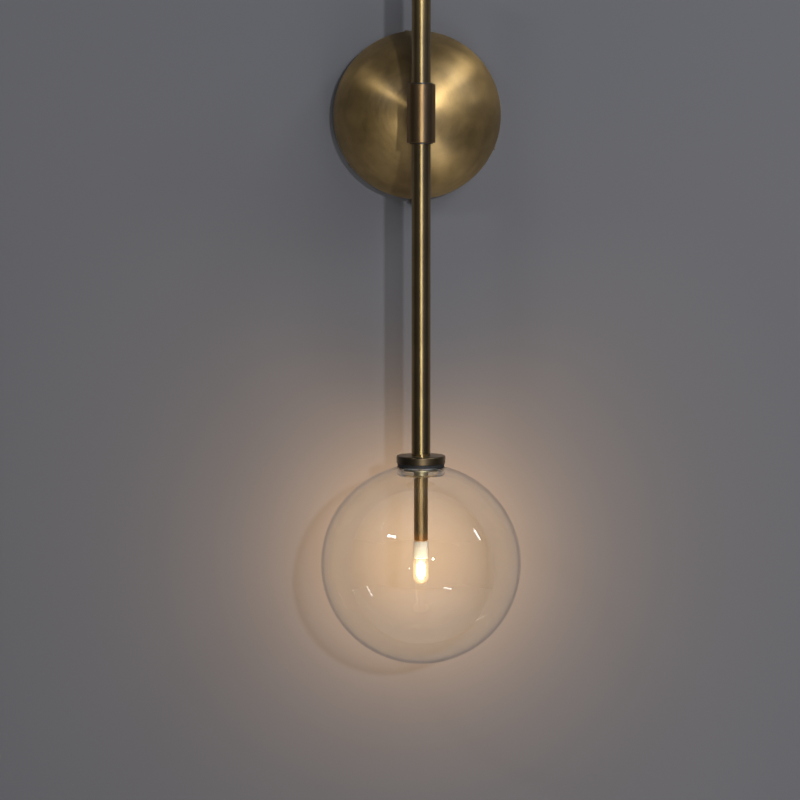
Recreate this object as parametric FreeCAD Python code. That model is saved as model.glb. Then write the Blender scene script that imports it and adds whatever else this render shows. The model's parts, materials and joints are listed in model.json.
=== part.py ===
import FreeCAD, Part
import math
import os

# Globe wall sconce in millimetres.
# The wall is the plane y = 0 and the lamp stands out of it towards -Y, with +Z up.
# The origin is the centre of the wall bracket's back face.

# Rod, sleeve and arm
rod_standoff = 100.0
rod_r = 8.5
rod_wall = 1.5
rod_above = 150.0
rod_below = 305.0
top_cap = 2.0
top_cap_round = 0.8
top_cap_plug = 8.0
insert_length = 18.0
slide_travel = 12.0
sleeve_r = 12.7
sleeve_length = 52.0
sleeve_chamfer = 0.5
bush_wall = 0.95
bush_length = 11.0
bush_flange = 0.8
bush_flange_thickness = 1.0
arm_r = 8.0
nipple_r = 5.0
nipple_bore_r = 3.5
thread_depth = 12.0
grub_r = 2.0
grub_height = 8.0
grub_side_deg = 50.0

# Backplate: a spun dome on a short skirt
plate_r = 77.0
plate_wall = 1.2
skirt_depth = 16.0
dome_rise = 53.8
rim_round = 6.0
land_r = 9.0
rear_gap = 0.5

# Wall bracket and what it carries
bracket_r = 60.0
bracket_thickness = 2.0
ear_width = 14.0
ear_depth = 13.0
ear_gap = 0.6
cable_hole_r = 11.0
wall_slot_spacing = 60.0
wall_slot_r = 2.3
wall_slot_length = 12.0
set_screw_r = 1.5
set_screw_length = 8.0
set_screw_proud = 1.2
set_screw_first_deg = 97.0
set_screw_count = 3
driver_width = 46.0
driver_height = 24.0
driver_depth = 18.0
driver_drop = 27.0
driver_tab = 6.0
driver_tab_thickness = 2.0
driver_round = 2.0
block_width = 30.0
block_height = 14.0
block_depth = 14.0
block_rise = 31.0
block_pitch = 10.0
block_poles = 3
wire_hole_r = 1.3
clamp_screw_r = 1.5
clamp_screw_length = 5.6
clamp_screw_sink = 0.6
screw_slot_width = 0.6
screw_slot_depth = 1.0
fixing_r = 1.5
fixing_seat = 7.0
fixing_head_r = 2.7
fixing_head = 1.8
pan_round_share = 0.4
socket_width_share = 0.55
socket_depth_share = 0.4
earth_r = 2.0
earth_head_r = 3.9
earth_head = 2.4
earth_lug_r = 4.6
earth_lug_thickness = 0.8
earth_tail_width = 4.0
earth_tail_length = 13.0
earth_x = -29.0
earth_z = 14.0
washer_r = 8.5
washer_thickness = 1.5
locknut_flats = 14.0
locknut_thickness = 4.0
nipple_tail = 4.6
nipple_end_play = 0.5

# Push switch under the backplate
switch_depth = 8.0
switch_bush_r = 5.9
switch_collar_r = 7.0
switch_collar_height = 2.7
switch_collar_round = 0.6
switch_bush_recess = 0.3
switch_shoulder_gap = 0.4
switch_width = 13.0
switch_thickness = 10.6
switch_length = 22.0
button_r = 3.8
button_proud = 2.5
button_travel = 2.0
button_length = 7.2
button_round = 0.8
button_spring_room = 0.5

# Glass cap, grip ring and stem
cap_r = 22.0
cap_thickness = 7.0
cap_round = 1.2
cap_chamfer = 0.3
spigot_r = 12.0
ring_flange_r = 21.0
ring_flange = 3.0
ring_plug = 3.2
ring_round = 0.6
retainer_r = 15.5
retainer_thickness = 1.0
stem_nut_r = 6.6
stem_nut = 4.0
stem_nut_chamfer = 0.4
stem_thread = 8.0
stem_r = 6.3
stem_length = 58.6
stem_round = 0.5

# Globe
globe_r = 90.0
glass_wall = 2.0
shoulder_r = 18.87
mouth_r = 16.6
collar_thickness = 4.8
collar_depth = 8.6
mouth_round = 0.8

# Lampholder and bulb
holder_length = 14.0
holder_recess = 0.4
contact_r = 0.8
contact_pitch = 4.0
contact_length = 9.0
bulb_r = 7.0
bulb_wall = 0.7
bulb_length = 39.0
bulb_gap = 0.8
base_length = 15.2
base_round = 0.8
boss_r = 4.0
pin_r = 0.35
pin_length = 8.0
core_r = 4.0
core_length = 15.0
core_drop = 3.5
core_wire_r = 0.4
core_wire_reach = 1.8

# Leads
lead_r = 0.9
lead_spacing = 2.4
lead_bend = 6.0
mains_bend = 3.4
slack_top = 40.0
slack_length = 40.0

# Clearances
running = 0.05
assembly = 0.1

# Heights and depths worked out from the sizes above
X = FreeCAD.Vector(1, 0, 0)
OUT = FreeCAD.Vector(0, -1, 0)
UP = FreeCAD.Vector(0, 0, 1)
DOWN = FreeCAD.Vector(0, 0, -1)
rod_bore_r = rod_r - rod_wall
dome_r = (plate_r ** 2 + dome_rise ** 2) / (2 * dome_rise)
dome_centre = dome_r - dome_rise - skirt_depth
land_depth = math.sqrt(dome_r ** 2 - land_r ** 2) - dome_centre
land_inner_depth = land_depth - plate_wall
skirt_inner_r = plate_r - plate_wall
ear_face_r = skirt_inner_r - ear_gap
nipple_rear = land_inner_depth - washer_thickness - locknut_thickness - nipple_tail
cap_top = -rod_below
cap_bottom = cap_top - cap_thickness
ring_bottom = cap_bottom - ring_flange - ring_plug
retainer_bottom = ring_bottom - retainer_thickness
stem_top = retainer_bottom - stem_nut
stem_end = stem_top - stem_length
holder_face = stem_end + holder_recess
glass_top = cap_bottom - ring_flange
globe_top = math.sqrt(globe_r ** 2 - shoulder_r ** 2)
globe_centre = glass_top - globe_top
collar_r = mouth_r + collar_thickness
bulb_top = stem_end - bulb_gap
bulb_tip = bulb_top - bulb_length
boss_length = bulb_gap + holder_recess - assembly
core_top = bulb_top - base_length - core_drop
rod_slot_r = lead_spacing / 2 + 2 * lead_r
rod_slot_half = slide_travel + rod_slot_r
wire_depth = bracket_thickness + earth_lug_thickness + lead_r + assembly
block_foot = block_rise - block_height / 2
driver_top = driver_height / 2 - driver_drop
driver_foot = -driver_height / 2 - driver_drop
switch_foot = -skirt_inner_r + switch_shoulder_gap
switch_top = switch_foot + switch_length


def at(x, out, z):
    """Point at x, out millimetres from the wall, and height z."""
    return FreeCAD.Vector(x, -out, z)


def rod_at(z):
    """Point on the rod's axis at height z."""
    return at(0, rod_standoff, z)


def cylinder(radius, start, direction, length):
    return Part.makeCylinder(radius, length, start, direction)


def tube(outer, inner, start, direction, length):
    return cylinder(outer, start, direction, length).cut(cylinder(inner, start, direction, length))


def block(x, out, z, width, depth, height):
    """Box centred on x and z, from out to out + depth away from the wall."""
    corner = at(x - width / 2, out + depth, z - height / 2)
    return Part.makeBox(width, depth, height, corner)


def slot(x, out, z, radius, length, depth, along):
    """Round-ended slot cutter pointing away from the wall, centred on x and z."""
    half = along * (length / 2 - radius)
    centre = at(x, out, z)
    ends = [cylinder(radius, centre + half * sign, OUT, depth) for sign in (-1, 1)]
    if along.x:
        middle = block(x, out, z, length - 2 * radius, depth, 2 * radius)
    else:
        middle = block(x, out, z, 2 * radius, depth, length - 2 * radius)
    return middle.fuse(ends).removeSplitter()


def circles(shape, radius, test=lambda centre: True):
    """Circular edges of a radius whose centre passes the test."""
    found = []
    for edge in shape.Edges:
        if edge.Degenerated or not isinstance(edge.Curve, Part.Circle):
            continue
        if abs(edge.Curve.Radius - radius) < 1e-4 and test(edge.Curve.Center):
            found.append(edge)
    return found


def hexagon(flats, start, direction, thickness, bore):
    """Hexagonal nut with its bore, along Y."""
    corner = flats / math.sqrt(3)
    points = []
    for step in range(7):
        turn = math.radians(60 * step)
        points.append(start + FreeCAD.Vector(corner * math.cos(turn), 0, corner * math.sin(turn)))
    prism = Part.Face(Part.makePolygon(points)).extrude(direction * thickness)
    return prism.cut(cylinder(bore, start, direction, thickness))


def pan_screw(start, direction, radius, length, head_r, head):
    """Pan-head screw whose head's underside is at start and whose shank runs along direction."""
    shank = cylinder(radius, start, direction, length)
    top = cylinder(head_r, start - direction * head, direction, head)
    far = circles(top, head_r, lambda c: (c - start).Length > head / 2)
    top = top.makeFillet(head * pan_round_share, far)
    return shank.fuse(top).removeSplitter()


def grub_screw(start, direction, radius, length):
    """Grub screw with a hexagon socket in the face at start."""
    body = cylinder(radius, start, direction, length)
    corner = radius * socket_width_share
    side = direction.cross(UP) if abs(direction.z) < 0.9 else X
    side.normalize()
    other = direction.cross(side)
    points = []
    for step in range(7):
        turn = math.radians(60 * step)
        points.append(start + side * (corner * math.cos(turn)) + other * (corner * math.sin(turn)))
    socket = Part.Face(Part.makePolygon(points)).extrude(direction * (length * socket_depth_share))
    return body.cut(socket)


def lead(points, bend, radius):
    """Insulated core along straight runs joined by tangent arcs of one radius."""
    edges = []
    start = points[0]
    for before, corner, after in zip(points, points[1:], points[2:]):
        back = (before - corner).normalize()
        ahead = (after - corner).normalize()
        half = math.acos(max(-1.0, min(1.0, back.dot(ahead)))) / 2
        inset = bend / math.tan(half)
        centre = corner + (back + ahead).normalize() * (bend / math.sin(half))
        first = corner + back * inset
        last = corner + ahead * inset
        middle = centre + (corner - centre).normalize() * bend
        edges.append(Part.LineSegment(start, first).toShape())
        edges.append(Part.Arc(first, middle, last).toShape())
        start = last
    edges.append(Part.LineSegment(start, points[-1]).toShape())
    direction = (points[1] - points[0]).normalize()
    section = Part.Wire(Part.Circle(points[0], direction, radius).toShape())
    return Part.Wire(edges).makePipeShell([section], True, False)


def lead_pair(points, across):
    """Two cores side by side along one route."""
    offset = across * (lead_spacing / 2)
    cores = [lead([p + offset * sign for p in points], lead_bend, lead_r) for sign in (-1, 1)]
    return Part.makeCompound(cores)


def set_screw_directions():
    """Unit vectors from the plate's centre to each set screw."""
    found = []
    for step in range(set_screw_count):
        turn = math.radians(set_screw_first_deg + 360.0 / set_screw_count * step)
        found.append(FreeCAD.Vector(math.cos(turn), 0, math.sin(turn)))
    return found


def block_fixing():
    """Place of the terminal block's screw, between two poles, and its head's depth."""
    return (block_pitch / 2, block_rise, bracket_thickness + fixing_seat)


def fixing_places():
    """Screws that hold the driver's two tabs and the terminal block."""
    tab_x = (driver_width + driver_tab) / 2
    seat = bracket_thickness + driver_tab_thickness
    return [(sign * tab_x, -driver_drop, seat) for sign in (-1, 1)] + [block_fixing()]


def pole_places():
    """The terminal block's poles, from left to right."""
    return [(pole - (block_poles - 1) / 2) * block_pitch for pole in range(block_poles)]


def clamp_places():
    """Clamp screws of the terminal block: two for each pole."""
    return [(x, block_rise + sign * block_height / 4) for x in pole_places() for sign in (-1, 1)]


def wall_bracket():
    """Pressed steel disc with three ears that the backplate's skirt is screwed to."""
    plate = cylinder(bracket_r, at(0, 0, 0), OUT, bracket_thickness)
    for direction in set_screw_directions():
        arm = Part.makeBox(ear_face_r, bracket_thickness, ear_width,
                           at(0, bracket_thickness, -ear_width / 2))
        ear = Part.makeBox(bracket_thickness, ear_depth, ear_width,
                           at(ear_face_r - bracket_thickness, ear_depth, -ear_width / 2))
        tab = arm.fuse(ear)
        turn = -math.degrees(math.atan2(direction.z, direction.x))
        tab.rotate(at(0, 0, 0), FreeCAD.Vector(0, 1, 0), turn)
        plate = plate.fuse(tab)
    plate = plate.removeSplitter()
    plate = plate.cut(cylinder(cable_hole_r, at(0, 0, 0), OUT, bracket_thickness))
    for sign in (-1, 1):
        place = sign * wall_slot_spacing / 2
        plate = plate.cut(slot(place, 0, 0, wall_slot_r, wall_slot_length, bracket_thickness, X))
    for x, z, out in fixing_places():
        plate = plate.cut(cylinder(fixing_r, at(x, 0, z), OUT, bracket_thickness))
    plate = plate.cut(cylinder(earth_r, at(earth_x, 0, earth_z), OUT, bracket_thickness))
    for direction in set_screw_directions():
        hole = cylinder(set_screw_r, at(0, skirt_depth / 2, 0) + direction * bracket_r,
                        direction, plate_r - bracket_r)
        plate = plate.cut(hole)
    return plate


def backplate():
    """Spun dome, open at the back, with a flat land where the arm stands."""
    def on_sphere(radius, r):
        """Point of a sphere about the dome's centre, r from the plate's axis."""
        return at(r, math.sqrt(radius ** 2 - r ** 2) - dome_centre, 0)

    inner_r = dome_r - plate_wall
    hole_r = nipple_r + assembly
    rim = at(plate_r, rear_gap, 0)
    shoulder = on_sphere(dome_r, plate_r)
    land = on_sphere(dome_r, land_r)
    hole = at(hole_r, land_depth, 0)
    hole_in = at(hole_r, land_inner_depth, 0)
    land_in = on_sphere(inner_r, math.sqrt(inner_r ** 2 - (land_inner_depth + dome_centre) ** 2))
    shoulder_in = on_sphere(inner_r, skirt_inner_r)
    rim_in = at(skirt_inner_r, rear_gap, 0)
    outline = [
        Part.LineSegment(rim, shoulder),
        Part.Arc(shoulder, on_sphere(dome_r, plate_r / 2), land),
        Part.LineSegment(land, hole),
        Part.LineSegment(hole, hole_in),
        Part.LineSegment(hole_in, land_in),
        Part.Arc(land_in, on_sphere(inner_r, plate_r / 2), shoulder_in),
        Part.LineSegment(shoulder_in, rim_in),
        Part.LineSegment(rim_in, rim),
    ]
    face = Part.Face(Part.Wire([piece.toShape() for piece in outline]))
    dome = face.revolve(at(0, 0, 0), FreeCAD.Vector(0, 1, 0), 360)
    dome = dome.makeFillet(rim_round, circles(dome, plate_r, lambda c: -c.y > skirt_depth / 2))
    inner_edge = circles(dome, skirt_inner_r, lambda c: -c.y > skirt_depth / 2)
    dome = dome.makeFillet(rim_round - plate_wall, inner_edge)
    for direction in set_screw_directions():
        hole = cylinder(set_screw_r + assembly, at(0, skirt_depth / 2, 0) + direction * bracket_r,
                        direction, plate_r)
        dome = dome.cut(hole)
    switch_hole = cylinder(switch_bush_r + assembly, at(0, switch_depth, -bracket_r), DOWN, plate_r)
    return dome.cut(switch_hole)


def canopy_set_screws():
    """Small grub screws that hold the backplate's skirt to the bracket's ears."""
    screws = []
    for direction in set_screw_directions():
        start = at(0, skirt_depth / 2, 0) + direction * (plate_r + set_screw_proud)
        screws.append(grub_screw(start, direction * -1, set_screw_r, set_screw_length))
    return Part.makeCompound(screws)


def driver():
    """Low-voltage lamp driver: a closed box with a fixing tab at each side."""
    body = block(0, bracket_thickness, -driver_drop, driver_width, driver_depth, driver_height)
    upright = [edge for edge in body.Edges if abs(edge.tangentAt(edge.FirstParameter).y) > 0.9]
    body = body.makeFillet(driver_round, upright)
    tabs = block(0, bracket_thickness, -driver_drop,
                 driver_width + 2 * driver_tab, driver_tab_thickness, driver_height / 2)
    body = body.fuse(tabs).removeSplitter()
    for x, z, seat in fixing_places()[:2]:
        body = body.cut(cylinder(fixing_r + assembly, at(x, 0, z), OUT, seat))
    return body


def bracket_screws():
    """Pan-head screws that hold the driver and the terminal block to the bracket."""
    screws = []
    for x, z, seat in fixing_places():
        screws.append(pan_screw(at(x, seat, z), OUT * -1, fixing_r, seat, fixing_head_r, fixing_head))
    return Part.makeCompound(screws)


def terminal_block():
    """Three-pole block with a wire hole through each pole and its clamp-screw holes."""
    body = block(0, bracket_thickness, block_rise, block_width, block_depth, block_height)
    face = bracket_thickness + block_depth
    for x in pole_places():
        body = body.cut(cylinder(wire_hole_r, at(x, wire_depth, block_foot), UP, block_height))
    for x, z in clamp_places():
        body = body.cut(cylinder(clamp_screw_r, at(x, wire_depth, z), OUT, face - wire_depth))
    x, z, seat = block_fixing()
    body = body.cut(cylinder(fixing_r + assembly, at(x, 0, z), OUT, face))
    return body.cut(cylinder(fixing_head_r + assembly, at(x, seat, z), OUT, face - seat))


def terminal_clamp_screws():
    """Clamp screws, each with a driver slot, sunk in the block's face."""
    head = bracket_thickness + block_depth - clamp_screw_sink
    slot_length = 3 * clamp_screw_r
    screws = []
    for x, z in clamp_places():
        screw = cylinder(clamp_screw_r, at(x, head - clamp_screw_length, z), OUT, clamp_screw_length)
        cut = block(x, head - screw_slot_depth, z, screw_slot_width, screw_slot_depth, slot_length)
        screws.append(screw.cut(cut))
    return Part.makeCompound(screws)


def earth_lug():
    """Ring lug under the earth screw, its tail towards the terminal block."""
    ring = cylinder(earth_lug_r, at(earth_x, bracket_thickness, earth_z), OUT, earth_lug_thickness)
    tail = block(earth_x + earth_tail_length / 2, bracket_thickness, earth_z,
                 earth_tail_length, earth_lug_thickness, earth_tail_width)
    lug = ring.fuse(tail).removeSplitter()
    return lug.cut(cylinder(earth_r + assembly, at(earth_x, 0, earth_z), OUT, rod_standoff))


def earth_screw():
    """Earth screw through the lug into the bracket."""
    seat = bracket_thickness + earth_lug_thickness
    return pan_screw(at(earth_x, seat, earth_z), OUT * -1, earth_r, seat, earth_head_r, earth_head)


def earth_lead():
    """Earth core from the lug's tail to the terminal block's first pole."""
    pole = pole_places()[0]
    tail = earth_x + earth_tail_length / 2
    points = [at(tail, wire_depth, earth_z), at(pole, wire_depth, earth_z), at(pole, wire_depth, block_foot)]
    return lead(points, mains_bend, lead_r)


def mains_leads():
    """Live core to the switch, switched core to the driver, and neutral core to the driver."""
    neutral_pole, live_pole = pole_places()[1:]
    side = wall_slot_spacing / 2 + wall_slot_length
    turn_high = block_foot - 2 * mains_bend
    turn_low = (driver_foot + switch_top) / 2
    switch_x = switch_width / 3
    pass_x = cable_hole_r + 2 * lead_r
    live = [at(live_pole, wire_depth, block_foot), at(live_pole, wire_depth, turn_high),
            at(side, wire_depth, turn_high), at(side, wire_depth, turn_low),
            at(switch_x, wire_depth, turn_low), at(switch_x, wire_depth, switch_top)]
    switched = [at(-switch_x, wire_depth, switch_top), at(-switch_x, wire_depth, driver_foot)]
    neutral = [at(neutral_pole, wire_depth, block_foot), at(neutral_pole, wire_depth, turn_high),
               at(pass_x, wire_depth, turn_high - pass_x), at(pass_x, wire_depth, driver_top)]
    return Part.makeCompound([lead(route, mains_bend, lead_r) for route in (live, switched, neutral)])


def arm_nipple():
    """Threaded tube that joins the arm to the backplate."""
    length = land_depth + thread_depth - nipple_rear
    return tube(nipple_r, nipple_bore_r, at(0, nipple_rear, 0), OUT, length)


def arm_washer():
    start = at(0, land_inner_depth - washer_thickness, 0)
    return tube(washer_r, nipple_r + assembly, start, OUT, washer_thickness)


def arm_locknut():
    start = at(0, land_inner_depth - washer_thickness - locknut_thickness, 0)
    return hexagon(locknut_flats, start, OUT, locknut_thickness, nipple_r)


def standoff_arm():
    """Short round bar from the backplate to the sleeve, coped to the sleeve's back."""
    length = rod_standoff - land_depth
    bar = cylinder(arm_r, at(0, land_depth, 0), OUT, length)
    bar = bar.cut(cylinder(sleeve_r, rod_at(-sleeve_length), UP, 2 * sleeve_length))
    bar = bar.cut(cylinder(nipple_r, at(0, land_depth, 0), OUT, thread_depth + nipple_end_play))
    return bar.cut(cylinder(nipple_bore_r, at(0, land_depth, 0), OUT, length))


def grub_direction():
    """Unit vector from the rod's axis to the sleeve's grub screw, behind the sleeve."""
    turn = math.radians(grub_side_deg)
    return FreeCAD.Vector(math.sin(turn), math.cos(turn), 0)


def clamp_sleeve():
    """Sleeve round the rod, with the lead hole behind and one grub-screw hole."""
    bush_r = rod_r + running + bush_wall
    sleeve = cylinder(sleeve_r, rod_at(-sleeve_length / 2), UP, sleeve_length)
    sleeve = sleeve.makeChamfer(sleeve_chamfer, circles(sleeve, sleeve_r))
    sleeve = sleeve.cut(cylinder(bush_r, rod_at(-sleeve_length / 2), UP, sleeve_length))
    sleeve = sleeve.cut(cylinder(nipple_bore_r, rod_at(0), OUT * -1, 2 * sleeve_r))
    return sleeve.cut(cylinder(grub_r, rod_at(grub_height), grub_direction(), 2 * sleeve_r))


def sleeve_bush(side):
    """Flanged nylon bush pressed into one end of the sleeve; side is 1 for the upper one."""
    inner = rod_r + running
    outer = inner + bush_wall
    mouth = rod_at(side * sleeve_length / 2)
    body = cylinder(outer, mouth, UP * -side, bush_length)
    flange = cylinder(outer + bush_flange, mouth, UP * side, bush_flange_thickness)
    bush = body.fuse(flange).removeSplitter()
    return bush.cut(cylinder(inner, rod_at(-sleeve_length), UP, 2 * sleeve_length))


def sleeve_grub_screw():
    """Grub screw that locks the rod's height, its tip on the rod."""
    direction = grub_direction()
    start = rod_at(grub_height) + direction * (sleeve_r - sleeve_chamfer)
    return grub_screw(start, direction * -1, grub_r, sleeve_r - sleeve_chamfer - rod_r - running)


def arm_leads():
    """Low-voltage pair from the driver through the arm and the sleeve into the rod."""
    depth = bracket_thickness + driver_depth - 2 * lead_r
    rise = at(0, depth, driver_top)
    corner = at(0, depth, 0)
    return lead_pair([rise, corner, rod_at(0), rod_at(-slack_top)], X)


def switch_body():
    """Switch housing inside the skirt and its threaded bush through the skirt."""
    mouth = -plate_r - switch_collar_height
    bush = cylinder(switch_bush_r, at(0, switch_depth, switch_foot), DOWN,
                    switch_foot - mouth - switch_bush_recess)
    housing = block(0, switch_depth - switch_thickness / 2, (switch_foot + switch_top) / 2,
                    switch_width, switch_thickness, switch_length)
    body = bush.fuse(housing).removeSplitter()
    bore = button_length - button_proud + button_travel + button_spring_room
    return body.cut(cylinder(button_r + assembly, at(0, switch_depth, mouth), UP, bore))


def switch_collar():
    """Round collar nut that clamps the switch to the skirt."""
    collar = tube(switch_collar_r, switch_bush_r, at(0, switch_depth, -plate_r), DOWN, switch_collar_height)
    middle = -plate_r - switch_collar_height / 2
    edge = circles(collar, switch_collar_r, lambda c: c.z < middle)
    return collar.makeFillet(switch_collar_round, edge)


def switch_button():
    """Push button, at rest with its spring out."""
    face = -plate_r - switch_collar_height - button_proud
    button = cylinder(button_r, at(0, switch_depth, face), UP, button_length)
    edge = circles(button, button_r, lambda c: c.z < face + button_length / 2)
    return button.makeFillet(button_round, edge)


def rod():
    """Tube that slides in the sleeve, with a slot behind for the leads."""
    body = tube(rod_r, rod_bore_r, rod_at(cap_top), UP, rod_above - top_cap - cap_top)
    cutter = slot(0, rod_standoff - 2 * rod_r, 0, rod_slot_r, 2 * rod_slot_half, 2 * rod_r, UP)
    return body.cut(cutter)


def rod_top_cap():
    """Plug in the rod's upper end."""
    seat = rod_above - top_cap
    disc = cylinder(rod_r, rod_at(seat), UP, top_cap)
    disc = disc.makeFillet(top_cap_round, circles(disc, rod_r, lambda c: c.z > seat + top_cap / 2))
    return disc.fuse(cylinder(rod_bore_r - running, rod_at(seat), DOWN, top_cap_plug)).removeSplitter()


def rod_insert():
    """Threaded insert pressed into the rod's lower end."""
    return tube(rod_bore_r, nipple_r, rod_at(cap_top), UP, insert_length)


def lower_nipple():
    """Threaded tube that draws the cap, ring, nut and stem up against the rod."""
    top = cap_top + thread_depth
    return tube(nipple_r, nipple_bore_r, rod_at(top), DOWN, top - stem_top + stem_thread)


def glass_cap():
    """Turned disc over the globe's mouth, with the spigot that carries the grip ring."""
    disc = cylinder(cap_r, rod_at(cap_top), DOWN, cap_thickness)
    middle = (cap_top + cap_bottom) / 2
    disc = disc.makeFillet(cap_round, circles(disc, cap_r, lambda c: c.z > middle))
    disc = disc.makeChamfer(cap_chamfer, circles(disc, cap_r, lambda c: c.z < middle))
    spigot = cylinder(spigot_r, rod_at(cap_bottom), DOWN, cap_bottom - ring_bottom)
    body = disc.fuse(spigot).removeSplitter()
    return body.cut(cylinder(nipple_r + assembly, rod_at(cap_top), DOWN, cap_top - ring_bottom))


def grip_ring():
    """Black rubber ring: a flange on the glass and a plug that grips its mouth."""
    flange = cylinder(ring_flange_r, rod_at(cap_bottom), DOWN, ring_flange)
    plug = cylinder(mouth_r - assembly, rod_at(glass_top), DOWN, ring_plug)
    edge = circles(plug, mouth_r - assembly, lambda c: c.z < glass_top - ring_plug / 2)
    plug = plug.makeFillet(ring_round, edge)
    body = flange.fuse(plug).removeSplitter()
    return body.cut(cylinder(spigot_r, rod_at(cap_bottom), DOWN, cap_bottom - ring_bottom))


def ring_retainer():
    return tube(retainer_r, nipple_r + assembly, rod_at(ring_bottom), DOWN, retainer_thickness)


def stem_locknut():
    """Round nut under the cap, bright above the stem."""
    nut = cylinder(stem_nut_r, rod_at(retainer_bottom), DOWN, stem_nut)
    nut = nut.makeChamfer(stem_nut_chamfer, circles(nut, stem_nut_r))
    return nut.cut(cylinder(nipple_r, rod_at(retainer_bottom), DOWN, stem_nut))


def stem():
    """Tube inside the globe that carries the lampholder."""
    body = cylinder(stem_r, rod_at(stem_top), DOWN, stem_length)
    body = body.makeFillet(stem_round, circles(body, stem_r, lambda c: c.z < stem_end + stem_length / 2))
    return body.cut(cylinder(nipple_r, rod_at(stem_top), DOWN, stem_length))


def lampholder():
    """Ceramic two-pin holder pressed into the stem's lower end."""
    body = cylinder(nipple_r - running, rod_at(holder_face), UP, holder_length)
    for sign in (-1, 1):
        place = rod_at(holder_face) + X * (sign * contact_pitch / 2)
        body = body.cut(cylinder(contact_r, place, UP, contact_length))
    return body


def holder_contacts():
    """Spring sockets for the bulb's two pins."""
    parts = []
    for sign in (-1, 1):
        place = rod_at(holder_face) + X * (sign * contact_pitch / 2)
        parts.append(tube(contact_r, pin_r + running, place, UP, contact_length))
    return Part.makeCompound(parts)


def slack_leads():
    """Slack stretch of the pair inside the rod, which takes up the rod's travel."""
    return lead_pair([rod_at(-slack_top), rod_at(-slack_top - slack_length)], X)


def lamp_leads():
    """Pair from the slack stretch down to the lampholder."""
    top = rod_at(-slack_top - slack_length)
    return lead_pair([top, rod_at(holder_face + holder_length)], X)


def glass_point(r, z):
    """Point of the globe's outline, r from its axis and z above its centre."""
    return FreeCAD.Vector(r, -rod_standoff, globe_centre + z)


def turned_glass(outline):
    """Solid that the outline sweeps in a full turn about the rod's axis."""
    face = Part.Face(Part.Wire([piece.toShape() for piece in outline]))
    return face.revolve(rod_at(0), UP, 360)


def on_globe(radius, rise_deg):
    """Point of a sphere about the globe's centre, rise_deg above its middle."""
    turn = math.radians(rise_deg)
    return glass_point(radius * math.cos(turn), radius * math.sin(turn))


def globe_lower():
    """Lower half of the clear blown globe."""
    inner_r = globe_r - glass_wall
    foot, foot_in = glass_point(0, -globe_r), glass_point(0, -inner_r)
    side, side_in = glass_point(globe_r, 0), glass_point(inner_r, 0)
    return turned_glass([
        Part.Arc(foot, on_globe(globe_r, -45), side),
        Part.LineSegment(side, side_in),
        Part.Arc(side_in, on_globe(inner_r, -45), foot_in),
        Part.LineSegment(foot_in, foot),
    ])


def globe_upper():
    """Upper half of the globe, open at the top where its collar is fused in."""
    inner_r = globe_r - glass_wall
    side, side_in = glass_point(globe_r, 0), glass_point(inner_r, 0)
    rim = glass_point(collar_r, math.sqrt(globe_r ** 2 - collar_r ** 2))
    rim_in = glass_point(collar_r, math.sqrt(inner_r ** 2 - collar_r ** 2))
    return turned_glass([
        Part.Arc(side, on_globe(globe_r, 45), rim),
        Part.LineSegment(rim, rim_in),
        Part.Arc(rim_in, on_globe(inner_r, 45), side_in),
        Part.LineSegment(side_in, side),
    ])


def globe_collar():
    """Thick glass collar fused into the globe's mouth, its lower edge round."""
    half = collar_thickness / 2
    foot = globe_top - collar_depth + half
    rim_z = math.sqrt(globe_r ** 2 - collar_r ** 2)
    between_r = (collar_r + shoulder_r) / 2
    between = glass_point(between_r, math.sqrt(globe_r ** 2 - between_r ** 2))
    mouth_top = glass_point(mouth_r, globe_top)
    inner_foot = glass_point(mouth_r, foot)
    outer_foot = glass_point(collar_r, foot)
    collar = turned_glass([
        Part.Arc(glass_point(collar_r, rim_z), between, glass_point(shoulder_r, globe_top)),
        Part.LineSegment(glass_point(shoulder_r, globe_top), mouth_top),
        Part.LineSegment(mouth_top, inner_foot),
        Part.Arc(inner_foot, glass_point(mouth_r + half, foot - half), outer_foot),
        Part.LineSegment(outer_foot, glass_point(collar_r, rim_z)),
    ])
    return collar.makeFillet(mouth_round, circles(collar, mouth_r, lambda c: c.z > glass_top - mouth_round))


def bulb_glass():
    """Clear capsule with a round tip."""
    def capsule(radius, top, tip):
        body = cylinder(radius, rod_at(top), DOWN, top - tip - radius)
        return body.fuse(Part.makeSphere(radius, rod_at(tip + radius))).removeSplitter()

    shell = capsule(bulb_r, bulb_top, bulb_tip)
    shell = shell.cut(cylinder(2 * bulb_r, rod_at(bulb_top), UP, 2 * bulb_r))
    hollow = capsule(bulb_r - bulb_wall, bulb_top + bulb_wall, bulb_tip + bulb_wall)
    return shell.cut(hollow)


def bulb_base():
    """Pale plug that closes the capsule and carries the pins."""
    radius = bulb_r - bulb_wall - assembly
    base = cylinder(radius, rod_at(bulb_top), DOWN, base_length)
    edge = circles(base, radius, lambda c: c.z < bulb_top - base_length / 2)
    base = base.makeFillet(base_round, edge)
    return base.fuse(cylinder(boss_r, rod_at(bulb_top), UP, boss_length)).removeSplitter()


def bulb_pins():
    pins = []
    for sign in (-1, 1):
        place = rod_at(bulb_top + boss_length) + X * (sign * contact_pitch / 2)
        pins.append(cylinder(pin_r, place, UP, pin_length))
    return Part.makeCompound(pins)


def led_core():
    """Glowing core: a round-ended rod of light inside the capsule."""
    high = rod_at(core_top - core_r)
    low = rod_at(core_top - core_length + core_r)
    middle = cylinder(core_r, high, DOWN, core_length - 2 * core_r)
    ends = [Part.makeSphere(core_r, high), Part.makeSphere(core_r, low)]
    return middle.fuse(ends).removeSplitter()


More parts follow.
